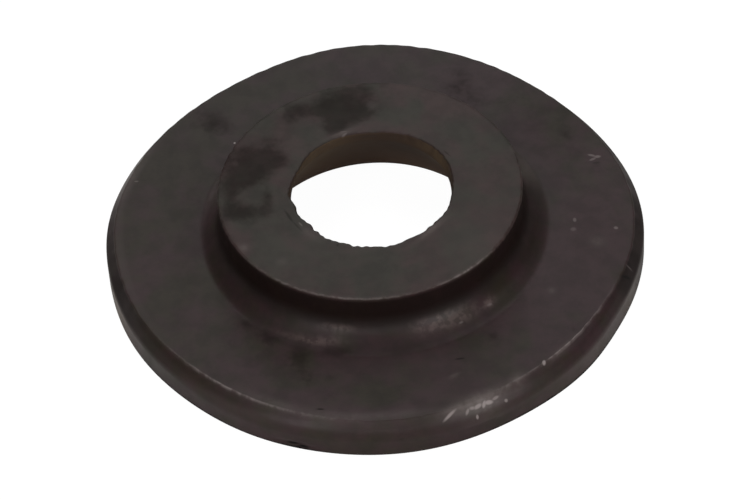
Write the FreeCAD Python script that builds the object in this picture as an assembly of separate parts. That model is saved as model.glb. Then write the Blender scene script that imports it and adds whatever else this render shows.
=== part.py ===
import FreeCAD, Part
import math
import os

# Spring seat: one turned steel piece, a round flange with a flat-topped boss and one hole through both.
# The origin is the middle of the underside and +Z points out of the boss. Lengths are in millimetres.

# flange, whose upper face carries the end coil of the spring
flange_radius = 20.0
flange_thickness = 3.0
rim_chamfer_width = 0.75
rim_chamfer_height = 1.1
rim_edge_round = 0.12
base_edge_round = 0.2

# boss, which fits inside the end coil of the spring
boss_radius = 11.35
boss_height = 4.0
boss_edge_round = 0.15
boss_foot_fillet = 1.65

# hole: a rounded edge at the boss's face, a short straight wall, then a cone that widens to the underside
bore_radius = 6.0
bore_edge_round = 0.15
bore_straight_length = 0.8
cone_half_angle = 30.0

boss_top = flange_thickness + boss_height
cone_top = boss_top - bore_edge_round - bore_straight_length
cone_mouth_radius = bore_radius + cone_top * math.tan(math.radians(cone_half_angle))


def rounded_section(corners):
    """Closed wire through the corners (radius, height, rounding), with an arc at each rounded one."""
    points = [FreeCAD.Vector(radius, 0, height) for radius, height, rounding in corners]
    starts, ends, arcs = [], [], []
    for index, corner in enumerate(corners):
        point = points[index]
        rounding = corner[2]
        to_previous = (points[index - 1] - point).normalize()
        to_next = (points[(index + 1) % len(points)] - point).normalize()
        half_angle = to_previous.getAngle(to_next) / 2
        reach = rounding / math.tan(half_angle)
        starts.append(point + to_previous * reach)
        ends.append(point + to_next * reach)
        if rounding > 0:
            inward = (to_previous + to_next).normalize()
            middle = point + inward * (rounding / math.sin(half_angle) - rounding)
            arcs.append(Part.Arc(starts[-1], middle, ends[-1]).toShape())
        else:
            arcs.append(None)
    edges = []
    for index, arc in enumerate(arcs):
        if arc:
            edges.append(arc)
        edges.append(Part.LineSegment(ends[index], starts[(index + 1) % len(points)]).toShape())
    return Part.Wire(edges)


def spring_seat():
    section = rounded_section([
        (cone_mouth_radius, 0, 0),
        (flange_radius, 0, base_edge_round),
        (flange_radius, flange_thickness - rim_chamfer_height, 0),
        (flange_radius - rim_chamfer_width, flange_thickness, rim_edge_round),
        (boss_radius, flange_thickness, boss_foot_fillet),
        (boss_radius, boss_top, boss_edge_round),
        (bore_radius, boss_top, bore_edge_round),
        (bore_radius, cone_top, 0),
    ])
    return Part.Face(section).revolve(FreeCAD.Vector(0, 0, 0), FreeCAD.Vector(0, 0, 1), 360)


os.makedirs("parts", exist_ok=True)
seat = spring_seat()
seat.exportStep("parts/spring_seat.step")
print("valid", seat.isValid(), "volume", round(seat.Volume, 1), "mouth radius", round(cone_mouth_radius, 2))
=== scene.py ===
import math
import bpy
import numpy as np
from mathutils import Matrix, Vector


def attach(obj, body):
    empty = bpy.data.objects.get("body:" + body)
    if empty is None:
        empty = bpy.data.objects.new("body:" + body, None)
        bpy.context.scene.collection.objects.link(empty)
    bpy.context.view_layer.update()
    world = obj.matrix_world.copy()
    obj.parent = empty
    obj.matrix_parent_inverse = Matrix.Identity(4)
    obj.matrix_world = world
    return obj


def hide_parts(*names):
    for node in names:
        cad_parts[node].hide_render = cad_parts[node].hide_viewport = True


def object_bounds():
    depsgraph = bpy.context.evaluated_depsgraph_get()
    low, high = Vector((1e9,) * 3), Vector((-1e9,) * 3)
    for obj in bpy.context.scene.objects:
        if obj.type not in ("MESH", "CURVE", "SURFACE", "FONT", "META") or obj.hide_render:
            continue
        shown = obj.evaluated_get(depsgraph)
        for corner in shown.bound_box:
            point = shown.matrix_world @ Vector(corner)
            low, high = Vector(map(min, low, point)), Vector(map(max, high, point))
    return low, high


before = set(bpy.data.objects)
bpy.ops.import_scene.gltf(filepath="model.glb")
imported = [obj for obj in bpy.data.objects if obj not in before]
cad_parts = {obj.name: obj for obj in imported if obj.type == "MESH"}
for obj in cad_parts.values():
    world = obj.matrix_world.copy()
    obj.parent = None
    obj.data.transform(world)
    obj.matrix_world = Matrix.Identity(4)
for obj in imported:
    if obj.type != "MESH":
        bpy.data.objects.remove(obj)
cadLow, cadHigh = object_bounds()
mm = 0.001

# the camera: distance, lens and the height that it looks at in mm, height angle and roll in degrees
cameraSettings = {
    "distance": 280.0,
    "elevation": 46.55,
    "roll": -4.02,
    "lens": 177.1,
    "sensorWidth": 36,
    "aimHeight": 0.19,
    "nearest": 0.01,  # metres, as the two clip distances are
    "farthest": 10,
}

# softboxes: azimuth (0 is the camera's side, 180 behind the seat) and elevation in degrees, mm, watts
lampSettings = {
    "lowWindow": {"azimuth": 180, "elevation": 25, "distance": 600, "width": 250, "watts": 0.50},
    "highWindow": {"azimuth": 180, "elevation": 50, "distance": 600, "width": 250, "watts": 0.21},
    "ceiling": {"azimuth": 180, "elevation": 75, "distance": 600, "width": 300, "watts": 1.00},
    "frontLeftLow": {"azimuth": -33, "elevation": 20, "distance": 600, "width": 150, "watts": 0.70},
    "frontLeftHigh": {"azimuth": -45, "elevation": 50, "distance": 600, "width": 200, "watts": 0.55},
    "frontRightLow": {"azimuth": 38, "elevation": 18, "distance": 600, "width": 150, "watts": 0.95},
    "frontRightHigh": {"azimuth": 45, "elevation": 50, "distance": 600, "width": 200, "watts": 0.38},
    "front": {"azimuth": 0, "elevation": 20, "distance": 600, "width": 150, "watts": 0.37},
    "right": {"azimuth": 95, "elevation": 50, "distance": 600, "width": 250, "watts": 0.22},
    "backRight": {"azimuth": 150, "elevation": 16, "distance": 600, "width": 200, "watts": 0.07},
    "backLeft": {"azimuth": 207, "elevation": 14, "distance": 600, "width": 150, "watts": 0.10},
}

roomSettings = {
    "wallColour": "#ffffff",
    "wallStrength": 0.13,
    "floorSize": 3000.0,
    "floorGap": 0.02,  # mm below the seat, so that the two faces don't fight
    "floorColour": "#e6e3e0",
    "whiteShare": 0.9,  # how much of the floor is plain white to the camera
    "mirroredShare": 0.12,  # and to reflections
    "whiteStrength": 1.08,
}


def toLinear(hexColour):
    # sRGB hex to the linear values that sockets take
    parts = [int(hexColour[i:i + 2], 16) / 255 for i in (1, 3, 5)]
    return [p / 12.92 if p <= 0.04045 else ((p + 0.055) / 1.055) ** 2.4 for p in parts] + [1.0]


def addNode(tree, kind, inputs=None, **settings):
    # one node: settings are its properties, and inputs are values or the outputs that feed it
    node = tree.nodes.new(kind)
    for name, value in settings.items():
        setattr(node, name, value)
    for socket, value in (inputs or {}).items():
        if isinstance(value, bpy.types.NodeSocket):
            tree.links.new(value, node.inputs[socket])
        else:
            node.inputs[socket].default_value = value
    return node


def newMaterial(name):
    material = bpy.data.materials.new(name)
    material.use_nodes = True
    material.node_tree.nodes.clear()
    return material, material.node_tree


# the turned outline in millimetres and degrees, in its main sizes the same as the solid's
seatSizes = {
    "flangeRadius": cadHigh.x / mm,
    "height": cadHigh.z / mm,
    "flangeThickness": 3.0,
    "rimChamferWidth": 0.75,
    "rimChamferHeight": 1.1,
    "rimEdgeRound": 0.12,
    "rimCreaseRound": 0.9,  # between bevel and wall, at the sides and behind
    "rimCreaseWorn": 1.8,  # the same crease in front
    "baseEdgeRound": 0.07,
    "bossRadius": 11.35,
    "bossEdgeRound": 0.15,
    "bossFootFillet": 2.32,
    "bossFootBreak": 10.0,  # degrees: the fillet ends in a slight break on the flange
    "boreRadius": 6.0,
    "boreEdgeRound": 0.15,
    "boreStraight": 0.8,
    "coneHalfAngle": 30.0,
    "aroundSteps": 600,
    "arcSteps": {"base": 5, "crease": 10, "rim": 5, "foot": 18, "boss": 5, "lip": 4},
    "runSteps": [8, 8, 34, 6, 26, 5, 12, 11],  # in the straight run after each arc and each end of the cone
}

# what service and handling did to the turned shape, in millimetres and degrees round the axis
seatFlaws = {
    "rimLobes": [(4, 0.18, -9), (5, 0.057, 5), (2, 0.035, -29), (1, 0.039, 171)],  # count, depth, crest
    "rimDents": [  # angle, half width, depth, as in all the lists of dents
        (8, 16, 0.22), (33, 8, 0.06), (96, 14, 0.28), (172, 8, 0.13), (204, 13, 0.16), (240, 9, 0.07),
        (280, 15, 0.16), (317, 11, 0.25), (329, 6, -0.08),
    ],
    "rimEdgeDents": [(316, 12, -0.32), (232, 16, -0.17)],
    "rimWear": {"angle": 266, "halfWidth": 12, "radius": 19.15, "reach": 0.3, "depth": 0.06},
    "creaseWear": {"angle": 263, "whole": 27, "none": 47},  # degrees to each side of the angle
    "bossLobes": [(1, 0.07, 190), (2, 0.05, 5)],
    "bossEdgeShare": 1.4,  # how ragged the boss's edge is beside the rim's
    "footDents": [(188, 28, -0.3)],
    "footRing": {"radius": 13.3, "reach": 0.6},
    "holeDents": [  # outwards is plus, a burr inwards is minus
        (25, 22, 0.19), (90, 13, -0.22), (122, 10, -0.08), (155, 11, -0.23), (181, 4, 0.1),
        (192.5, 3, -0.22), (201, 4, -0.08), (216, 6.5, -0.3), (231, 4, -0.05), (246, 5, -0.11),
        (282, 6, 0.17), (306, 4, 0.09), (333, 8, 0.14),
    ],
    "holeRaggedness": 0.035,
    "holeWaves": (18, 70),  # lowest and highest count of waves round the axis
    "lipFace": (1.1, 0.2),  # how far from the hole its dents have no and full depth, on the boss's face
    "lipWall": (0.05, 0.2),  # and in the hole, above the cone and below the face
    "holeRoughLeast": 0.4,
    "holeRoughMore": [(235, 45, 0.8)],  # the hole's edge is more broken in front
    "edgeRaggedness": 0.014,
    "edgeWaves": (25, 110),
    "rimNick": {"angle": 339.2, "halfWidth": 0.9, "depth": 0.06, "downShare": 0.5},
    "lapMark": {"angle": 250.5, "halfWidth": 2.4, "height": 0.45, "reach": 0.12, "depth": 0.16},
    "seed": 7,
}

# rings of the outline that are worn or marked, some with painted edge highlight and one with painted shade:
# radius, height and reach of the bell curve across them, in mm
seatRings = {
    "rimEdge": (19.28, 2.97, 0.2),
    "rimRubAndHighlight": (19.22, 3.0, 0.08),
    "bossEdge": (11.32, 6.97, 0.2),
    "bossRubAndHighlight": (11.31, 6.97, 0.06),
    "bossBack": (11.31, 6.96, 0.1),
}

# soft steps over the surface, in mm: where (radius, height, x or y) each has nothing, then where it is whole
seatZones = {
    "unevenFlange": (14.5, 19.0),
    "unevenBossInside": (9.5, 11.2),
    "unevenBossOutside": (14.0, 12.0),
    "topFace": (6.8, 6.95),
    "pastBoss": (11.45, 11.7),
    "aboveWall": (1.7, 2.0),
    "pastFoot": (13.0, 13.5),
    "footOutside": (13.35, 13.0),
    "aboveFlange": (3.0, 3.02),
    "underEdge": (12.0, 11.4),
    "lowerFoot": (13.35, 12.6),
    "rightBack": (2.7, 3.5),
    "leftBack": (-1.0, 2.2),
    "bossBack": (0.5, 4.0),
    "wall": (2.1, 1.6),
    "bevelFromBelow": (1.7, 2.1),
    "bevelFromAbove": (2.99, 2.85),
    "outerFlange": (18.5, 19.2),
    "innerGlow": (18.4, 18.8),
    "outerGlow": (19.35, 19.2),
    "holeTop": (7.0, 6.9),
}

# bands round the seat that are marked at any height: radius and reach of the bell curve across them, in mm
seatBands = {
    "footRing": (12.95, 0.35),
    "lowerBevel": (19.8, 0.13),
}

# where a flaw or mark stops at once, in mm, to keep it off the underside or out of the hole
seatCuts = {
    "holeSkin": 0.03,  # this near to the hole's wall counts as in it
    "undersideUpTo": 0.01,
    "bossFrom": 0.5,
    "facesFrom": 1.2,
    "rimWearFrom": 2.5,
    "footUpTo": 3.9,
    "burnishAndHighlightUpTo": 4.9,
    "lipFrom": 6.5,
    "bevelFromRadius": 19.2,
    "wallFromRadius": 19.3,
    "lapFromRadius": 19.9,
}


def arcPoints(centre, radius, first, last, steps):
    # points on a circle from one angle to another
    angle = np.radians(np.linspace(first, last, steps + 1))
    return np.stack([centre[0] + radius * np.cos(angle), centre[1] + radius * np.sin(angle)], 1)


def cornerArc(before, corner, after, rounding, steps):
    # arc tangent to both runs that meet at the corner
    corner = np.array(corner, float)
    toBefore = np.array(before) - corner
    toAfter = np.array(after) - corner
    toBefore /= np.linalg.norm(toBefore)
    toAfter /= np.linalg.norm(toAfter)
    half = math.acos(float(toBefore @ toAfter)) / 2
    inward = (toBefore + toAfter) / np.linalg.norm(toBefore + toAfter)
    centre = corner + inward * rounding / math.sin(half)
    first = corner + toBefore * rounding / math.tan(half) - centre
    last = corner + toAfter * rounding / math.tan(half) - centre
    start = math.degrees(math.atan2(first[1], first[0]))
    sweep = (math.degrees(math.atan2(last[1], last[0])) - start + 180) % 360 - 180
    return arcPoints(centre, rounding, start, start + sweep, steps)


def coneTopHeight(sizes):
    # where the hole's straight wall ends and its cone begins
    return sizes["height"] - sizes["boreEdgeRound"] - sizes["boreStraight"]


def coneSlope(sizes):
    # how much the cone widens for each millimetre down
    return math.tan(math.radians(sizes["coneHalfAngle"]))


def seatOutline(sizes, creaseRound):
    # closed outline (radius, height) in mm, with the steel on the left: arcs tangent to the straight runs
    height = sizes["height"]
    outer = sizes["flangeRadius"]
    face = sizes["flangeThickness"]
    inner = sizes["bossRadius"]
    baseRound = sizes["baseEdgeRound"]
    bossRound = sizes["bossEdgeRound"]
    lipRound = sizes["boreEdgeRound"]
    steps = sizes["arcSteps"]
    bevelLow = (outer, face - sizes["rimChamferHeight"])
    bevelHigh = (outer - sizes["rimChamferWidth"], face)
    base = arcPoints((outer - baseRound, baseRound), baseRound, -90, 0, steps["base"])
    crease = cornerArc((outer, 0), bevelLow, bevelHigh, creaseRound, steps["crease"])
    rim = cornerArc(bevelLow, bevelHigh, (inner, face), sizes["rimEdgeRound"], steps["rim"])
    footArc = sizes["bossFootFillet"]
    footEnd = 90 - sizes["bossFootBreak"]
    footCentre = (inner + footArc, face + footArc * math.sin(math.radians(footEnd)))
    foot = arcPoints(footCentre, footArc, 180 + footEnd, 180, steps["foot"])
    boss = arcPoints((inner - bossRound, height - bossRound), bossRound, 0, 90, steps["boss"])
    lip = arcPoints((sizes["boreRadius"] + lipRound, height - lipRound), lipRound, 90, 180, steps["lip"])
    coneTop = coneTopHeight(sizes)
    mouth = sizes["boreRadius"] + coneTop * coneSlope(sizes)
    cone = np.array([(sizes["boreRadius"], coneTop), (mouth, 0)])
    parts = [base, crease, rim, foot, boss, lip, cone[:1], cone[1:]]
    outline = []
    for i, part in enumerate(parts):
        following = parts[(i + 1) % len(parts)][0]
        share = np.linspace(0, 1, sizes["runSteps"][i] + 1)[1:-1, None]
        outline += [part, part[-1] * (1 - share) + following * share]
    return np.concatenate(outline)


def ramp(value, low, high):
    # smooth step from 0 at low to 1 at high, and the other way round where low is the larger
    share = np.clip((value - low) / (high - low), 0, 1)
    return share * share * (3 - 2 * share)


def zone(value, name):
    # the soft step that seatZones gives under this name
    return ramp(value, *seatZones[name])


def bell(apart, reach):
    # bell curve: 1 at no distance and 0.6 at the reach
    return np.exp(-0.5 * (apart / reach) ** 2)


def bump(turn, angle, halfWidth):
    # bell curve round the axis, in degrees, that closes on itself
    return bell((turn - angle + 180) % 360 - 180, halfWidth)


def nearRing(radius, height, name):
    # bell curve about the ring that seatRings gives under this name
    ringRadius, ringHeight, reach = seatRings[name]
    return bell(np.hypot(radius - ringRadius, height - ringHeight), reach)


def inBand(radius, name):
    # bell curve across the band that seatBands gives under this name
    bandRadius, reach = seatBands[name]
    return bell(radius - bandRadius, reach)


def dents(turn, parts):
    # sum of bell curves round the axis: angle, half width, depth
    return sum(depth * bump(turn, angle, halfWidth) for angle, halfWidth, depth in parts)


def lobes(turn, parts):
    # sum of cosines round the axis: count of lobes, depth, and the angle of one crest
    return sum(depth * np.cos(np.radians(count * (turn - angle))) for count, depth, angle in parts)


def ragged(turn, depth, waves, seed):
    # seeded sum of cosines of high count, so that an edge runs unevenly and still closes
    rng = np.random.default_rng(seed)
    counts = np.arange(*waves)
    shift = rng.uniform(0, 360, len(counts))
    strength = rng.normal(0, 1, len(counts)) * np.sqrt(2 / len(counts))
    return depth * (strength[:, None] * np.cos(np.radians(counts[:, None] * turn + shift[:, None]))).sum(0)


def turnedSeat(sizes, flaws):
    # the outline carried once round the axis: turn, radius and height of each point, and whether in the hole
    turn = np.linspace(0, 360, sizes["aroundSteps"], endpoint=False)
    crisp = seatOutline(sizes, sizes["rimCreaseRound"])
    soft = seatOutline(sizes, sizes["rimCreaseWorn"])
    crease = flaws["creaseWear"]
    front = ramp(np.abs(turn - crease["angle"]), crease["none"], crease["whole"])
    radius = crisp[:, :1] * (1 - front) + soft[:, :1] * front
    height = crisp[:, 1:] * (1 - front) + soft[:, 1:] * front
    coneDepth = np.maximum(coneTopHeight(sizes) - height, 0)
    inHole = radius - sizes["boreRadius"] - coneDepth * coneSlope(sizes) < seatCuts["holeSkin"]
    return turn, radius, height, inHole


def wornSeat(sizes, flaws, turn, radius, height, inHole):
    # radius and height after service: each flaw moves its own ring or zone of the surface
    cuts = seatCuts
    flange = zone(radius, "unevenFlange")
    boss = zone(radius, "unevenBossInside") * zone(radius, "unevenBossOutside")
    boss = np.where(inHole | (height <= cuts["bossFrom"]), 0, boss)
    foot = bell(radius - flaws["footRing"]["radius"], flaws["footRing"]["reach"])
    foot = np.where(inHole | (height > cuts["footUpTo"]), 0, foot)
    shift = flange * (lobes(turn, flaws["rimLobes"]) + dents(turn, flaws["rimDents"]))
    shift = shift + boss * lobes(turn, flaws["bossLobes"]) + foot * dents(turn, flaws["footDents"])

    lipFace = ramp(radius - sizes["boreRadius"], *flaws["lipFace"])
    lipFace = np.where(height > cuts["lipFrom"], lipFace, 0)
    aboveCone, belowFace = flaws["lipWall"]
    lipWall = ramp(height, coneTopHeight(sizes) + aboveCone, sizes["height"] - belowFace)
    rough = flaws["holeRoughLeast"] + dents(turn, flaws["holeRoughMore"])
    holeShift = rough * ragged(turn, flaws["holeRaggedness"], flaws["holeWaves"], flaws["seed"])
    holeShift = np.where(inHole, lipWall, lipFace) * (dents(turn, flaws["holeDents"]) + holeShift)

    rimEdge = nearRing(radius, height, "rimEdge")
    bossEdge = np.where(inHole, 0, nearRing(radius, height, "bossEdge"))
    unevenEdge = ragged(turn, flaws["edgeRaggedness"], flaws["edgeWaves"], flaws["seed"] + 1)
    edgeShift = (rimEdge + flaws["bossEdgeShare"] * bossEdge) * unevenEdge
    edgeShift = edgeShift + rimEdge * dents(turn, flaws["rimEdgeDents"])

    nick = flaws["rimNick"]
    nickDepth = bump(turn, nick["angle"], nick["halfWidth"]) * rimEdge * nick["depth"]
    lap = flaws["lapMark"]
    lapDepth = np.where(radius > cuts["lapFromRadius"], bell(height - lap["height"], lap["reach"]), 0)
    lapDepth = bump(turn, lap["angle"], lap["halfWidth"]) * lapDepth * lap["depth"]
    wear = flaws["rimWear"]
    wearDepth = np.where(height > cuts["rimWearFrom"], bell(radius - wear["radius"], wear["reach"]), 0)
    wearDepth = wearDepth * bump(turn, wear["angle"], wear["halfWidth"]) * wear["depth"]
    seenRadius = radius + shift + holeShift + edgeShift - nickDepth - lapDepth
    seenHeight = height - nick["downShare"] * nickDepth - wearDepth
    return seenRadius, seenHeight


def gridMesh(name, x, y, z):
    # a closed grid, joined to itself both along the outline and round the axis
    rows, columns = x.shape
    index = np.arange(rows * columns).reshape(rows, columns)
    down = np.roll(index, -1, 0)
    faces = np.stack([index, np.roll(index, -1, 1), np.roll(down, -1, 1), down], -1).reshape(-1, 4)
    mesh = bpy.data.meshes.new(name)
    mesh.from_pydata(np.stack([x, y, z], -1).reshape(-1, 3), [], faces.tolist())
    mesh.polygons.foreach_set("use_smooth", np.ones(len(faces), bool))
    mesh.update()
    return mesh


# how strong each mark is round the axis: angle and half width in degrees, strength
aroundMarks = {
    "rimRubAndHighlight": [
        (222, 6, 0.24), (232, 6, 0.36), (242, 6, 0.28), (254, 6, 0.1), (299, 4, 0.2), (314, 6, 0.5),
        (326, 6, 0.25),
    ],
    "bossRubAndHighlight": [(228, 14, 0.25), (262, 16, 0.3), (306, 8, 0.5)],
    "neckLit": [(328, 16, 0.3)],
    "neckSides": [(-6, 20, 1.5), (198, 20, 0.6)],
    "neckGlow": [(21, 5, 1.0), (160, 7, 0.8)],
    "footRing": [(277, 15, 1.0), (240, 10, 0.5)],
    "filmAndReflection": [(194, 6, 0.65), (309, 5, 0.05), (321, 5, 0.14), (341, 5, 0.5)],
    # soot with painted contact shadow along the foot of the wall, darkest at the lap mark
    "sootAndShadow": [(226, 10, 0.5), (251, 3, 1.0), (300, 8, 0.8), (318, 9, 0.9)],
    "rimShade": [(341, 6, 1.0), (196, 8, 0.9), (358, 9, 0.8), (178, 8, 0.5), (22, 8, 0.3)],
    "wallShade": [(358, 14, 1.0)],
    "rimDull": [(356, 8, 1.0), (175, 7, 0.7)],
    "bevelDull": [(341, 5, 0.5), (23, 8, 0.7), (191, 6, 0.7)],
    "lowerBevel": [(234, 10, 0.18)],
    # painted light: glow on the rim behind and at the left side
    "backGlow": [(159, 7, 0.5)],
    "sideGlow": [(188, 12, 0.14)],
    "rust": [(137, 22, 1.0), (32, 14, 0.8)],
}

# where the coating is marked, in millimetres seen from above: x, y, half length, half width, turn, strength
patchMarks = {
    "bossStains": [
        (-1.3, 8.9, 1.5, 1.1, 0, 1.1), (-2.4, 6.9, 0.6, 1.15, 0, 1.05), (-1.0, 7.6, 1.0, 0.6, 25, 0.6),
        (-0.9, 10.5, 1.7, 0.45, 3, 0.55), (-4.1, 8.6, 1.3, 0.55, 5, 0.78), (-5.6, 8.9, 0.8, 0.4, 0, 0.42),
        (-5.7, 7.9, 0.4, 0.5, 0, 0.4), (0.4, 8.75, 0.25, 0.35, 0, -0.7), (0.3, 9.6, 0.4, 0.5, 0, 0.3),
        (0.2, 7.7, 0.4, 0.4, 0, 0.4), (-8.6, 3.6, 1.8, 0.85, -3, 1.0), (-6.9, 3.3, 0.6, 0.45, 0, 0.7),
        (-7.6, 4.3, 0.6, 0.35, 0, 0.6), (-9.1, 4.8, 0.9, 0.45, 0, 0.5), (-9.9, 1.6, 1.0, 1.2, 0, 1.0),
        (-8.8, 2.1, 0.7, 0.6, 0, 0.7), (-10.5, -0.3, 0.45, 1.0, 0, 0.55),
        (-9.5, -1.75, 1.25, 0.7, -10, 1.05), (-7.6, 2.2, 0.6, 0.6, 0, 0.35),
        (-7.7, -0.6, 0.35, 0.85, 0, 0.85), (-9.0, 0.3, 0.7, 0.55, 15, -0.5),
        (-7.1, 5.6, 0.7, 0.5, -30, 0.5), (-10.0, 3.45, 0.18, 0.18, 0, -0.5),
    ],
    "flangeStains": [
        (7.6, 14.0, 1.1, 1.7, 15, 0.75), (-12.0, 12.1, 1.5, 1.0, -30, 0.75),
        (-16.6, 5.2, 1.2, 0.6, 0, 0.3), (-6.0, -13.0, 0.42, 0.65, 0, 0.95),
        (-6.8, -12.8, 0.8, 0.8, 0, 0.35), (-3.45, -12.65, 0.9, 0.4, 0, 1.0),
        (-5.6, -14.9, 0.45, 1.0, 10, 0.6), (-8.35, -10.8, 0.6, 0.45, -30, 0.9),
        (-9.8, -9.35, 0.75, 0.42, -20, 0.85), (-8.1, -10.0, 0.4, 0.6, 0, 0.45),
        (-10.9, -11.2, 0.3, 0.6, 0, 0.35), (-2.0, -14.8, 0.7, 0.25, 0, 0.45),
        (-3.8, -15.0, 0.35, 0.35, 0, 0.4), (8.15, -12.15, 0.35, 0.4, 0, 0.75),
        (14.05, -11.8, 0.18, 0.4, 0, 0.55), (-13.2, -7.6, 0.6, 0.9, 0, 0.3),
        (17.2, 4.7, 0.5, 0.3, 0, 0.4), (5.8, -14.5, 0.9, 0.5, 0, 0.25), (11.2, 12.2, 1.5, 0.5, 0, 0.4),
        (15.4, 8.1, 0.7, 0.7, 0, 0.35), (-10.5, 7.8, 1.2, 0.8, 0, 0.25), (12.6, -13.4, 0.7, 0.4, 0, 0.25),
        (-15.3, 9.0, 0.9, 0.8, 0, 0.3), (9.4, -9.6, 0.8, 0.5, 0, 0.25),
    ],
    "dull": [
        (-5.8, -12.7, 1.8, 1.4, 0, 0.5), (-8.6, -10.9, 1.8, 1.0, -45, 0.45),
        (-8.3, 1.4, 2.0, 2.8, 0, 0.35), (-2.2, 9.2, 2.8, 1.6, 0, 0.35), (-12.6, 3.0, 2.0, 4.0, 0, 0.35),
        (0.0, -12.7, 3.5, 0.5, 0, 0.2), (-7.0, 6.5, 2.0, 1.5, 0, 0.3), (14.5, 9.5, 3.0, 4.0, 0, 0.6),
        (16.5, -2.5, 2.0, 3.0, 0, 0.25), (-14.0, -4.5, 1.2, 3.0, 0, 0.25), (0.0, 17.0, 3.0, 1.0, 0, -0.3),
    ],
    "pink": [
        (6.4, 8.9, 1.5, 1.1, 0, 1.1), (12.5, 9.0, 1.6, 1.2, 0, 0.6), (9.5, 14.0, 2.0, 1.2, -30, 0.5),
        (7.5, 14.2, 1.2, 1.6, 10, 0.6), (-3.5, -12.8, 0.8, 0.4, 0, 1.0), (12.0, -8.0, 2.5, 4.0, 0, 0.6),
        (16.5, -2.0, 1.5, 3.0, 0, 0.6), (-6.0, 13.5, 1.0, 1.0, 0, 0.4), (-16.5, -3.0, 1.2, 2.0, 0, 0.5),
        (-10.1, -5.1, 0.5, 0.8, 0, 0.8), (3.5, -16.5, 1.2, 1.5, 0, 0.5), (-1.5, 5.9, 1.2, 0.25, 12, 0.6),
        (0.0, -14.0, 2.5, 0.8, 0, 0.3), (-7.0, 1.4, 0.4, 0.4, 0, 0.3),
    ],
    "green": [
        (-15.0, -1.0, 2.5, 7.0, 0, 0.35), (0.5, -15.0, 5.0, 1.5, 0, 0.15),
        (-9.0, 14.0, 5.0, 2.0, 30, 0.3), (3.9, 8.0, 0.45, 0.8, 0, 0.9), (-4.5, 8.8, 1.5, 0.8, 0, 0.4),
        (11.0, 12.5, 1.5, 1.5, 0, 0.4), (-9.0, 0.3, 1.2, 1.0, 0, 0.4), (8.0, 4.5, 2.0, 3.0, 0, 0.2),
        (0.0, -7.0, 2.5, 0.6, 0, 0.45), (2.5, 7.6, 1.2, 1.0, 0, 0.5), (-4.5, 6.4, 1.0, 0.8, 0, 0.6),
        (-5.8, -13.0, 0.7, 0.6, 0, 0.7), (-9.6, -2.3, 0.6, 0.5, 0, 0.8), (3.0, -15.5, 0.6, 1.0, 0, 0.6),
        (-0.7, -17.1, 0.9, 0.8, 0, 0.8), (8.5, -12.5, 2.0, 1.0, 0, 0.4), (-14.5, -5.0, 1.6, 1.2, 0, 0.4),
        (14.5, 9.5, 1.2, 1.2, 0, 0.6), (-15.0, 8.0, 1.5, 1.5, 0, 0.5), (-7.0, 15.0, 1.2, 1.2, 0, 0.5),
        (9.7, -14.0, 0.8, 0.6, 0, 0.4), (-7.3, -6.0, 1.6, 1.2, 0, 0.5), (6.5, -6.0, 1.5, 1.5, 0, 0.3),
        (-5.6, -3.4, 0.5, 0.9, 0, 0.6), (-1.0, -9.0, 3.0, 1.4, 0, 0.3),
    ],
    # burnished patches in the boss's foot, set where the highlights fall, so partly painted highlight
    "burnishAndHighlight": [
        (-7.1, -10.6, 1.3, 0.13, -33, 0.16), (-5.4, -11.4, 1.0, 0.17, -24, 0.36),
        (-3.9, -11.75, 0.9, 0.2, -12, 0.4), (-3.3, -11.1, 0.8, 0.16, -12, 0.4),
        (-2.6, -11.35, 0.5, 0.16, -8, 0.3), (3.2, -11.45, 0.8, 0.3, 14, 0.38),
        (4.7, -10.9, 1.0, 0.38, 24, 0.43), (6.4, -10.25, 0.9, 0.3, 34, 0.36),
        (8.1, -9.15, 0.4, 0.2, 40, 0.6),
    ],
    # rubbed patches; the long ones along the rim's front edge are painted soft highlight
    "rubbedAndPaintedLight": [
        (7.0, -18.05, 1.1, 0.42, 24, 0.95), (9.2, -16.85, 1.0, 0.3, 32, 0.28),
        (5.0, -18.75, 0.9, 0.25, 22, 0.6), (-4.4, -18.6, 2.0, 0.35, -14, 0.22),
        (0.2, -19.0, 2.8, 0.3, 0, 0.22), (9.6, -16.4, 0.35, 0.3, 60, 0.4),
        (13.0, -13.9, 1.0, 0.12, 47, 0.4), (-8.3, -16.9, 1.7, 0.25, -28, 0.3),
        (16.6, -3.4, 0.4, 0.35, 0, 0.35), (5.1, -15.7, 0.3, 0.12, 30, 0.4),
        (12.8, -8.0, 0.2, 0.2, 0, 0.35), (-2.0, 5.85, 0.7, 0.16, 22, 0.75),
        (-9.65, -5.3, 0.22, 0.28, 0, 0.45), (-4.7, -4.3, 0.8, 0.25, -50, 0.3),
        (-6.9, -7.0, 0.25, 0.25, 0, 0.3), (4.3, -4.75, 0.9, 0.14, 44, 0.7),
        (10.95, 3.0, 0.2, 0.3, 0, 0.4), (-0.8, -6.35, 2.2, 0.22, 0, 0.1), (7.5, -6.4, 2.2, 2.2, 0, 0.12),
        (1.5, -14.3, 4.0, 1.1, 0, 0.08), (-6.3, -6.2, 2.0, 1.6, 0, 0.06),
    ],
}

# how much each mark counts for in the mask that it goes into
markShares = {
    "underEdgeShade": 0.82,
    "neckShadeAll": 0.12,
    "neckSideShade": 0.24,
    "leftBackShade": 0.95,
    "footRingShade": 0.3,
    "bossBackShade": 0.1,
    "flangeStains": 0.85,
    "footRingDull": 0.7,
    "rimDull": 1.8,
    "wallDull": 0.5,
    "bossBackDull": 1.2,
    "neckGlow": 0.35,
    "rustAll": 0.1,
    "plainTint": 0.5,
    "tintSwing": 0.5,
    "mostPatch": 1.2,  # where patches overlap, their sum stops here
    "holeLightFrom": 5.4,  # mm: painted light makes the hole's colour lighter below this height
    "holeLightOver": 4.9,  # mm: over this length
}


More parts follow.
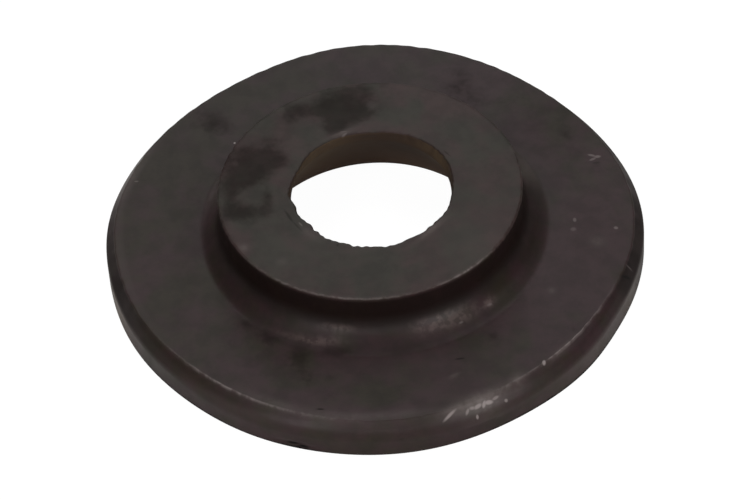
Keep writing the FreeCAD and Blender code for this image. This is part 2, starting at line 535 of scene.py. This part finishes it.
def patches(x, y, parts):
    # sum of soft ellipses seen from above: centre, half length, half width, turn in degrees, strength
    total = np.zeros_like(x)
    for centreX, centreY, length, width, angle, strength in parts:
        cosine = math.cos(math.radians(angle))
        sine = math.sin(math.radians(angle))
        along = ((x - centreX) * cosine + (y - centreY) * sine) / length
        across = ((y - centreY) * cosine - (x - centreX) * sine) / width
        total = total + strength * np.exp(-0.5 * (along ** 2 + across ** 2))
    return np.clip(total, 0, markShares["mostPatch"])


def seatMasks(turn, radius, height, inHole, x, y):
    # where the finish differs from the plain coating, and where painted shade and painted light go, as one
    # number at each vertex for each mask
    around = {name: dents(turn, parts) for name, parts in aroundMarks.items()}
    marked = {name: patches(x, y, parts) for name, parts in patchMarks.items()}
    share = markShares
    cuts = seatCuts

    # parts of the surface
    onTop = np.where(inHole, 0, zone(height, "topFace"))
    onFlange = zone(radius, "pastBoss") * zone(height, "aboveWall")
    outside = (onTop == 0) & ~inHole & (height > cuts["undersideUpTo"])
    aboveRim = height > cuts["facesFrom"]
    faces = onTop + zone(radius, "pastFoot") * aboveRim
    neck = np.where(outside, zone(radius, "footOutside") * zone(height, "aboveFlange"), 0)
    onWall = np.where(outside & (radius > cuts["wallFromRadius"]), zone(height, "wall"), 0)
    bevel = zone(height, "bevelFromBelow") * zone(height, "bevelFromAbove")
    bevel = np.where(outside & (radius > cuts["bevelFromRadius"]), bevel, 0)
    rimRubAndHighlight = nearRing(radius, height, "rimRubAndHighlight")
    bossRubAndHighlight = np.where(inHole, 0, nearRing(radius, height, "bossRubAndHighlight"))
    bossBack = np.where(inHole, 0, nearRing(radius, height, "bossBack")) * zone(y, "bossBack")
    footRing = np.where(outside, inBand(radius, "footRing"), 0) * around["footRing"]
    lowerBevel = np.where(outside, inBand(radius, "lowerBevel"), 0) * around["lowerBevel"]

    # painted shade in the foot of the boss, deepest under its edge and less at the back, and painted shade on
    # the rim's bevel and wall at the sides, at the fillet's foot in front and on the boss's back edge
    inShade = 1 - np.where(x > 0, zone(y, "rightBack"), share["leftBackShade"] * zone(y, "leftBack"))
    underEdge = zone(radius, "underEdge") * share["underEdgeShade"] * (1 - around["neckLit"])
    sideDirt = around["neckSides"] * zone(radius, "lowerFoot") * share["neckSideShade"]
    paintedShade = neck * inShade * (underEdge + share["neckShadeAll"] + sideDirt)
    paintedShade = paintedShade + share["bossBackShade"] * bossBack + share["footRingShade"] * footRing
    paintedShade = paintedShade + (bevel + onWall * around["wallShade"]) * around["rimShade"]

    # matt places, and places where light wear shows the steel through the coating; painted light too: glow on
    # the rim behind and at the left, glow in the neck, a lighter band on the lower bevel and soft highlights
    # along the rim
    rimDull = np.clip(bevel + share["wallDull"] * onWall, 0, 1) * around["rimDull"]
    rimDull = rimDull + bevel * around["bevelDull"]
    dull = (onTop + onFlange) * marked["dull"] + share["footRingDull"] * footRing
    dull = dull + share["rimDull"] * rimDull + share["bossBackDull"] * bossBack
    rubbedAndPaintedLight = faces * marked["rubbedAndPaintedLight"] + zone(radius, "outerFlange") * aboveRim * around["backGlow"]
    rubbedAndPaintedLight = rubbedAndPaintedLight + zone(radius, "innerGlow") * zone(radius, "outerGlow") * around["sideGlow"]
    rubbedAndPaintedLight = rubbedAndPaintedLight + lowerBevel + share["neckGlow"] * neck * around["neckGlow"]
    stain = onTop * marked["bossStains"] + share["flangeStains"] * onFlange * marked["flangeStains"]
    lightening = np.clip((share["holeLightFrom"] - height) / share["holeLightOver"], 0, 1)

    return {
        "bossTop": onTop,
        "tint": share["plainTint"] + faces * share["tintSwing"] * (marked["pink"] - marked["green"]),
        "stain": stain,
        "dull": dull,
        "paintedShade": np.clip(paintedShade, 0, 1),
        "filmAndReflection": onWall * around["filmAndReflection"],
        "sootAndShadow": onWall * around["sootAndShadow"],
        "rubbedAndPaintedLight": rubbedAndPaintedLight,
        "burnishAndHighlight": onFlange * (height < cuts["burnishAndHighlightUpTo"]) * marked["burnishAndHighlight"],
        "edgeRubAndHighlight": rimRubAndHighlight * around["rimRubAndHighlight"] + bossRubAndHighlight * around["bossRubAndHighlight"],
        "hole": np.where(inHole, zone(height, "holeTop"), 0),
        "holeLowerLight": np.where(inHole, lightening ** 2, 0),
        "rust": inHole * (around["rust"] + share["rustAll"]),
    }


def makeSeat():
    turn, radius, height, inHole = turnedSeat(seatSizes, seatFlaws)
    seenRadius, seenHeight = wornSeat(seatSizes, seatFlaws, turn, radius, height, inHole)
    x = seenRadius * np.cos(np.radians(turn))
    y = seenRadius * np.sin(np.radians(turn))
    mesh = gridMesh("springSeat", x * mm, y * mm, seenHeight * mm)
    for name, values in seatMasks(turn, radius, height, inHole, x, y).items():
        attribute = mesh.attributes.new(name, "FLOAT", "POINT")  # the material reads it by its name
        attribute.data.foreach_set("value", np.ascontiguousarray(values, np.float32).ravel())
    seat = bpy.data.objects.new("springSeat", mesh)
    bpy.context.scene.collection.objects.link(seat)
    return seat


# the finish: colours in sRGB, sizes of grain and mottling in millimetres
steelSettings = {
    "topGreen": "#28251d",
    "topPink": "#322321",
    "flangeGreen": "#272118",
    "flangePink": "#2f1f21",
    "oil": "#17110f",
    # painted shade: the near black of the boss's foot, the shaded rim sides and the fillet's foot
    "paintedShade": "#140a08",
    # black for the dark strokes and for the painted contact shadow at the foot of the wall
    "sootAndShadow": "#0a0605",
    # pale film on the wall, and painted reflection at the wall's left and right sides
    "wallFilmAndReflection": "#665a4b",
    # thinned coating, also the colour of the painted glow and soft highlights
    "rubbedAndPaintedLight": "#584f4c",
    "burnishedAndHighlight": "#625350",
    # bare steel at worn edges and strokes, also the painted highlight along the rim's and the boss's edges
    "bareSteelAndHighlight": "#857b79",
    "holeRust": "#4d3e2e",
    "holeDark": "#33261e",
    # painted light: the lighter colour of the hole near its mouth
    "holeMouthLight": "#6c5646",
    "mottleSize": 2.0,
    "cloudSize": 1.3,
    "speckleSize": 0.45,
    "grainSize": 0.18,  # phosphate's own crystals are finer than a pixel, so they are drawn this coarse
    "specularLevel": 0.2,
    "bumpStrength": 0.25,
    "bumpDepth": 0.02,
    "stainShare": 0.56,
    "stainUneven": 0.6,
    "stainMatt": 0.29,
    "dullMatt": 0.2,
    "holeMatt": 0.35,
    "darkMatt": 0.4,
    "noiseMiddle": 0.5,  # the level about which the noise swings
    "tintMiddle": 0.45,
    "cloudInOil": 0.7,
    "speckleInOil": 0.5,
    "cloudInStain": 0.7,
    "sootAndShadowUneven": 0.5,
    "grainInBump": 0.5,
    "speckleInBump": 0.5,
}

# smooth steps in the material: the two values between which each rises, and what it rises from and to
steelSteps = {
    "mottle": (0.3, 0.72, 0.0, 1.0),
    "oilClouds": (0.45, 0.75, 0.0, 0.35),
    "rust": (0.3, 0.6, 0.6, 1.0),
    "filmAndReflection": (0.3, 0.6, 0.5, 0.8),
    "stain": (0.05, 1.1, 0.0, 1.0),
    "stainEdge": (0.05, 0.35, 0.0, 1.0),
    "paintedShade": (0.2, 0.6, 0.8, 1.0),
    "rubbedAndPaintedLight": (0.3, 0.65, 0.6, 1.0),
    "burnishAndHighlight": (0.38, 0.6, 0.3, 0.9),
    "bareAndHighlight": (0.35, 0.6, 0.35, 1.0),
    "sootAndShadow": (0.3, 0.1, 0.0, 1.0),
    "roughness": (0.3, 0.7, 0.39, 0.46),
}

# bright specks and scratches: x, y, z, half length, half width, half depth in mm, turn in degrees, strength
brightStrokes = [
    (-10.22, 9.72, 3.0, 0.12, 0.1, 0.3, 90, 1.0), (-17.83, 6.31, 3.0, 0.2, 0.1, 0.3, 0, 0.22),
    (15.12, -1.0, 3.0, 0.26, 0.16, 0.3, 90, 0.26), (14.93, -1.95, 3.0, 0.26, 0.24, 0.3, 0, 0.15),
    (18.12, -2.12, 3.0, 0.2, 0.17, 0.3, -30, 0.32), (17.0, 5.68, 3.0, 0.36, 0.14, 0.3, -22, 0.32),
    (17.42, 5.5, 3.0, 0.32, 0.17, 0.3, 0, 0.35), (17.05, 5.26, 3.0, 0.34, 0.14, 0.3, 25, 0.28),
    (3.04, -11.36, 3.56, 0.16, 0.1, 0.3, 0, 0.9), (4.25, -10.79, 3.77, 0.2, 0.13, 0.3, 20, 0.8),
    (5.9, -10.86, 3.13, 0.3, 0.12, 0.3, 25, 0.35), (8.08, -9.3, 3.15, 0.34, 0.15, 0.3, 30, 0.4),
    (11.65, -15.05, 3.0, 0.25, 0.16, 0.3, 80, 0.9), (6.51, -18.91, 1.95, 0.12, 0.12, 0.3, 0, 0.7),
    (8.68, -17.8, 2.3, 0.16, 0.1, 0.3, 20, 0.6), (4.63, -19.06, 2.5, 0.85, 0.1, 0.5, 35, 0.8),
    (5.85, -18.75, 2.45, 0.36, 0.12, 0.3, 60, 0.6), (6.15, -18.6, 2.5, 0.34, 0.12, 0.3, 15, 0.6),
    (6.6, -18.45, 2.55, 0.4, 0.14, 0.3, 30, 0.75), (7.05, -18.3, 2.6, 0.38, 0.14, 0.3, 70, 0.8),
    (7.4, -18.15, 2.6, 0.4, 0.14, 0.3, 15, 0.85), (7.9, -17.85, 2.7, 0.34, 0.1, 0.3, 30, 0.5),
    (18.66, -5.94, 2.5, 0.42, 0.1, 0.6, -17, 0.18), (-1.7, 5.75, 7.0, 0.3, 0.1, 0.3, 40, 0.25),
    (-1.8, 6.08, 7.0, 0.3, 0.06, 0.3, 5, 0.2), (-5.35, -3.3, 7.0, 0.3, 0.09, 0.3, -60, 0.2),
    (11.25, 3.1, 7.0, 0.25, 0.12, 0.3, 80, 0.3),
]

# dark lines and pits, given in the same way
darkStrokes = [
    (-6.2, -2.4, 7.0, 0.9, 0.13, 0.3, -66, 0.45), (-5.6, -3.5, 7.0, 0.8, 0.11, 0.3, -58, 0.35),
    (-2.72, -5.68, 7.0, 0.14, 0.1, 0.3, 90, 0.5), (-4.7, -18.02, 3.0, 0.34, 0.1, 0.3, -8, 0.7),
    (5.6, -14.12, 3.0, 0.45, 0.1, 0.3, 4, 0.6), (-6.9, -18.8, 0.42, 0.55, 0.4, 0.14, -20, 1.0),
    (-6.1, -19.05, 0.3, 0.5, 0.4, 0.12, -18, 1.0), (17.3, 4.85, 3.0, 0.4, 0.14, 0.3, 0, 0.4),
    (0.9, -19.98, 1.6, 0.3, 0.3, 0.1, 0, 0.5), (5.9, 3.0, 7.0, 0.5, 0.07, 0.3, -55, 0.5),
    (18.72, -5.65, 2.55, 0.45, 0.1, 0.6, -17, 0.6), (18.41, -6.85, 2.45, 0.58, 0.16, 0.7, 21, 0.85),
]


# how far from its middle a stroke has nothing and is whole, in shares of its half sizes
strokeEdge = {"none": 1.15, "whole": 0.4}


def strokeMask(tree, place, stroke):
    # the stroke's strength well inside an ellipsoid about it, falling to nothing at its skin
    x, y, z, length, width, depth, angle, strength = stroke
    local = addNode(tree, "ShaderNodeMapping", {
        "Vector": place,
        "Location": (x, y, z),
        "Rotation": (0, 0, math.radians(angle)),
        "Scale": (length, width, depth),
    }, vector_type="TEXTURE")
    distance = addNode(tree, "ShaderNodeVectorMath", {0: local.outputs[0]}, operation="LENGTH")
    return addNode(tree, "ShaderNodeMapRange", {
        "Value": distance.outputs["Value"],
        "From Min": strokeEdge["none"],
        "From Max": strokeEdge["whole"],
        "To Min": 0.0,
        "To Max": strength,
    }, interpolation_type="SMOOTHSTEP").outputs[0]


def phosphatedSteel():
    # phosphated and oiled turned steel: nearly black and satin, matt where dirt sits, bright at rubbed edges;
    # its colour also carries painted shade and painted highlights
    settings = steelSettings
    material, tree = newMaterial("phosphatedSteel")
    coords = addNode(tree, "ShaderNodeTexCoord").outputs["Object"]
    place = addNode(tree, "ShaderNodeVectorMath", {0: coords, "Scale": 1 / mm}, operation="SCALE").outputs[0]

    def noise(name, detail, offset):
        # clouds of the named size in mm, moved aside so that no two patterns match
        shift = (offset, offset * 0.7, 0)
        moved = addNode(tree, "ShaderNodeVectorMath", {0: place, 1: shift}, operation="ADD").outputs[0]
        inputs = {"Vector": moved, "Scale": 1 / settings[name], "Detail": detail}
        return addNode(tree, "ShaderNodeTexNoise", inputs).outputs[0]

    def spread(value, name):
        # the smooth step that steelSteps gives under this name
        low, high, toLow, toHigh = steelSteps[name]
        return addNode(tree, "ShaderNodeMapRange", {
            "Value": value,
            "From Min": low,
            "From Max": high,
            "To Min": toLow,
            "To Max": toHigh,
        }, interpolation_type="SMOOTHSTEP").outputs[0]

    def blend(share, first, second):
        inputs = {0: share, 6: first, 7: second}
        return addNode(tree, "ShaderNodeMix", inputs, data_type="RGBA").outputs[2]

    def combine(operation, first, second):
        return addNode(tree, "ShaderNodeMath", {0: first, 1: second}, operation=operation).outputs[0]

    def mask(name):
        return addNode(tree, "ShaderNodeAttribute", attribute_name=name).outputs["Fac"]

    def paint(name):
        return toLinear(settings[name])

    grain = noise("grainSize", detail=3.0, offset=0)
    mottle = noise("mottleSize", detail=3.0, offset=30)
    cloud = noise("cloudSize", detail=4.0, offset=60)
    speckle = noise("speckleSize", detail=4.0, offset=90)
    centredSpeckle = combine("SUBTRACT", speckle, settings["noiseMiddle"])

    # the coating, mottled between a greenish and a pinkish brown, with oil in clouds and specks
    tint = combine("ADD", combine("SUBTRACT", mask("tint"), settings["tintMiddle"]), mottle)
    pattern = spread(tint, "mottle")
    flangeCoat = blend(pattern, paint("flangeGreen"), paint("flangePink"))
    topCoat = blend(pattern, paint("topGreen"), paint("topPink"))
    colour = blend(mask("bossTop"), flangeCoat, topCoat)
    tone = combine("MULTIPLY", cloud, settings["cloudInOil"])
    tone = combine("ADD", tone, combine("MULTIPLY", speckle, settings["speckleInOil"]))
    colour = blend(spread(tone, "oilClouds"), colour, paint("oil"))

    # the hole: a brown film of rust, made lighter towards the underside by painted light
    rusty = combine("MULTIPLY", mask("rust"), spread(cloud, "rust"))
    rust = blend(rusty, paint("holeDark"), paint("holeRust"))
    rust = blend(mask("holeLowerLight"), rust, paint("holeMouthLight"))
    colour = blend(mask("hole"), colour, rust)

    # what lies on the coating: pale film on the wall with painted reflection at its sides, oil stains with
    # uneven edges, and painted shade
    filmAndReflection = combine("MULTIPLY", mask("filmAndReflection"), spread(cloud, "filmAndReflection"))
    colour = blend(filmAndReflection, colour, paint("wallFilmAndReflection"))
    uneven = combine("SUBTRACT", cloud, settings["noiseMiddle"])
    uneven = combine("MULTIPLY", uneven, settings["cloudInStain"])
    uneven = combine("MULTIPLY", combine("ADD", uneven, centredSpeckle), settings["stainUneven"])
    stain = spread(combine("ADD", mask("stain"), uneven), "stain")
    stain = combine("MULTIPLY", stain, spread(mask("stain"), "stainEdge"))
    colour = blend(combine("MULTIPLY", stain, settings["stainShare"]), colour, paint("oil"))
    paintedShade = combine("MULTIPLY", mask("paintedShade"), spread(cloud, "paintedShade"))
    colour = blend(paintedShade, colour, paint("paintedShade"))

    # wear and painted light: thinned coating with painted glow and soft highlights, burnished places that are
    # partly painted highlight, bare steel and painted highlight at edges, and single strokes
    rubbedAndPaintedLight = combine("MULTIPLY", mask("rubbedAndPaintedLight"), spread(speckle, "rubbedAndPaintedLight"))
    colour = blend(rubbedAndPaintedLight, colour, paint("rubbedAndPaintedLight"))
    # burnished patches, partly painted highlight
    burnishAndHighlight = combine("MULTIPLY", mask("burnishAndHighlight"), spread(speckle, "burnishAndHighlight"))
    colour = blend(burnishAndHighlight, colour, paint("burnishedAndHighlight"))
    # bare steel and painted highlight along the rim's and the boss's edges
    bareAndHighlight = combine("MULTIPLY", mask("edgeRubAndHighlight"), spread(speckle, "bareAndHighlight"))
    for stroke in brightStrokes:
        bareAndHighlight = combine("MAXIMUM", bareAndHighlight, strokeMask(tree, place, stroke))
    colour = blend(bareAndHighlight, colour, paint("bareSteelAndHighlight"))

    # black: soot and painted contact shadow along the lowest 0.3 mm of the wall, and the dark strokes
    low = addNode(tree, "ShaderNodeSeparateXYZ", {0: place}).outputs[2]
    low = combine("ADD", low, combine("MULTIPLY", centredSpeckle, settings["sootAndShadowUneven"]))
    dark = combine("MULTIPLY", mask("sootAndShadow"), spread(low, "sootAndShadow"))
    for stroke in darkStrokes:
        dark = combine("MAXIMUM", dark, strokeMask(tree, place, stroke))
    colour = blend(dark, colour, paint("sootAndShadow"))

    matt = combine("MULTIPLY", stain, settings["stainMatt"])
    matt = combine("ADD", matt, combine("MULTIPLY", mask("dull"), settings["dullMatt"]))
    matt = combine("MAXIMUM", matt, combine("MULTIPLY", mask("hole"), settings["holeMatt"]))
    matt = combine("MAXIMUM", matt, combine("MULTIPLY", dark, settings["darkMatt"]))
    roughness = combine("ADD", spread(cloud, "roughness"), matt)
    height = combine("MULTIPLY", grain, settings["grainInBump"])
    height = combine("ADD", height, combine("MULTIPLY", speckle, settings["speckleInBump"]))
    surface = addNode(tree, "ShaderNodeBump", {
        "Strength": settings["bumpStrength"],
        "Distance": settings["bumpDepth"] * mm,
        "Height": height,
    })
    shader = addNode(tree, "ShaderNodeBsdfPrincipled", {
        "Base Color": colour,
        "Roughness": roughness,
        "Specular IOR Level": settings["specularLevel"],
        "Normal": surface.outputs[0],
    })
    addNode(tree, "ShaderNodeOutputMaterial", {"Surface": shader.outputs[0]})
    return material


def makeFloor():
    # pale table: camera and reflections see mostly plain white, with enough of the lit surface for the shadow
    half = roomSettings["floorSize"] / 2 * mm
    low = -roomSettings["floorGap"] * mm
    corners = [(-half, -half, low), (half, -half, low), (half, half, low), (-half, half, low)]
    mesh = bpy.data.meshes.new("floor")
    mesh.from_pydata(corners, [], [(0, 1, 2, 3)])
    floor = bpy.data.objects.new("floor", mesh)
    bpy.context.scene.collection.objects.link(floor)
    material, tree = newMaterial("paleTable")
    path = addNode(tree, "ShaderNodeLightPath")
    mirrored = addNode(tree, "ShaderNodeMath", {
        0: path.outputs["Is Glossy Ray"],
        1: path.outputs["Is Transmission Ray"],
    }, operation="MAXIMUM")
    mirrored = addNode(tree, "ShaderNodeMath", {
        0: mirrored.outputs[0],
        1: roomSettings["mirroredShare"],
    }, operation="MULTIPLY")
    share = addNode(tree, "ShaderNodeMath", {
        0: path.outputs["Is Camera Ray"],
        1: roomSettings["whiteShare"],
        2: mirrored.outputs[0],
    }, operation="MULTIPLY_ADD")
    diffuse = addNode(tree, "ShaderNodeBsdfDiffuse", {"Color": toLinear(roomSettings["floorColour"])})
    white = addNode(tree, "ShaderNodeEmission", {"Strength": roomSettings["whiteStrength"]})
    table = addNode(tree, "ShaderNodeMixShader", {
        0: share.outputs[0],
        1: diffuse.outputs[0],
        2: white.outputs[0],
    })
    side = addNode(tree, "ShaderNodeNewGeometry")
    clear = addNode(tree, "ShaderNodeBsdfTransparent")  # seen from below, so that the underside shows
    surface = addNode(tree, "ShaderNodeMixShader", {
        0: side.outputs["Backfacing"],
        1: table.outputs[0],
        2: clear.outputs[0],
    })
    addNode(tree, "ShaderNodeOutputMaterial", {"Surface": surface.outputs[0]})
    mesh.materials.append(material)


def makeWorld():
    world = bpy.data.worlds.new("room")
    world.use_nodes = True
    tree = world.node_tree
    tree.nodes.clear()
    ambient = addNode(tree, "ShaderNodeBackground", {
        "Color": toLinear(roomSettings["wallColour"]),
        "Strength": roomSettings["wallStrength"],
    })
    addNode(tree, "ShaderNodeOutputWorld", {"Surface": ambient.outputs[0]})
    bpy.context.scene.world = world


def makeLamps():
    # each softbox stands on a sphere about the seat and faces it
    for name, lamp in lampSettings.items():
        azimuth = math.radians(lamp["azimuth"])
        elevation = math.radians(lamp["elevation"])
        level = math.cos(elevation)
        away = Vector((math.sin(azimuth) * level, -math.cos(azimuth) * level, math.sin(elevation)))
        light = bpy.data.lights.new(name, "AREA")
        light.shape = "SQUARE"
        light.size = lamp["width"] * mm
        light.energy = lamp["watts"]
        box = bpy.data.objects.new(name, light)
        box.location = away * lamp["distance"] * mm
        box.rotation_euler = away.to_track_quat("Z", "Y").to_euler()
        bpy.context.scene.collection.objects.link(box)


def makeCamera():
    settings = cameraSettings
    elevation = math.radians(settings["elevation"])
    place = Vector((0, -math.cos(elevation), math.sin(elevation))) * settings["distance"] * mm
    towards = place - Vector((0, 0, settings["aimHeight"] * mm))
    camera = bpy.data.objects.new("camera", bpy.data.cameras.new("camera"))
    camera.data.lens = settings["lens"]
    camera.data.sensor_width = settings["sensorWidth"]
    camera.data.clip_start = settings["nearest"]
    camera.data.clip_end = settings["farthest"]
    roll = Matrix.Rotation(math.radians(settings["roll"]), 3, "Z")
    turned = towards.to_track_quat("Z", "Y").to_matrix() @ roll
    camera.matrix_world = Matrix.Translation(place) @ turned.to_4x4()
    bpy.context.scene.collection.objects.link(camera)
    bpy.context.scene.camera = camera


makeCamera()
print("camera set")

seat = makeSeat()
seat.data.materials.append(phosphatedSteel())
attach(seat, "root")
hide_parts("spring_seat")
print("seat made", len(seat.data.polygons), "faces")

makeFloor()
makeWorld()
makeLamps()
bpy.context.scene.view_settings.view_transform = "Standard"
print("room and lamps set")
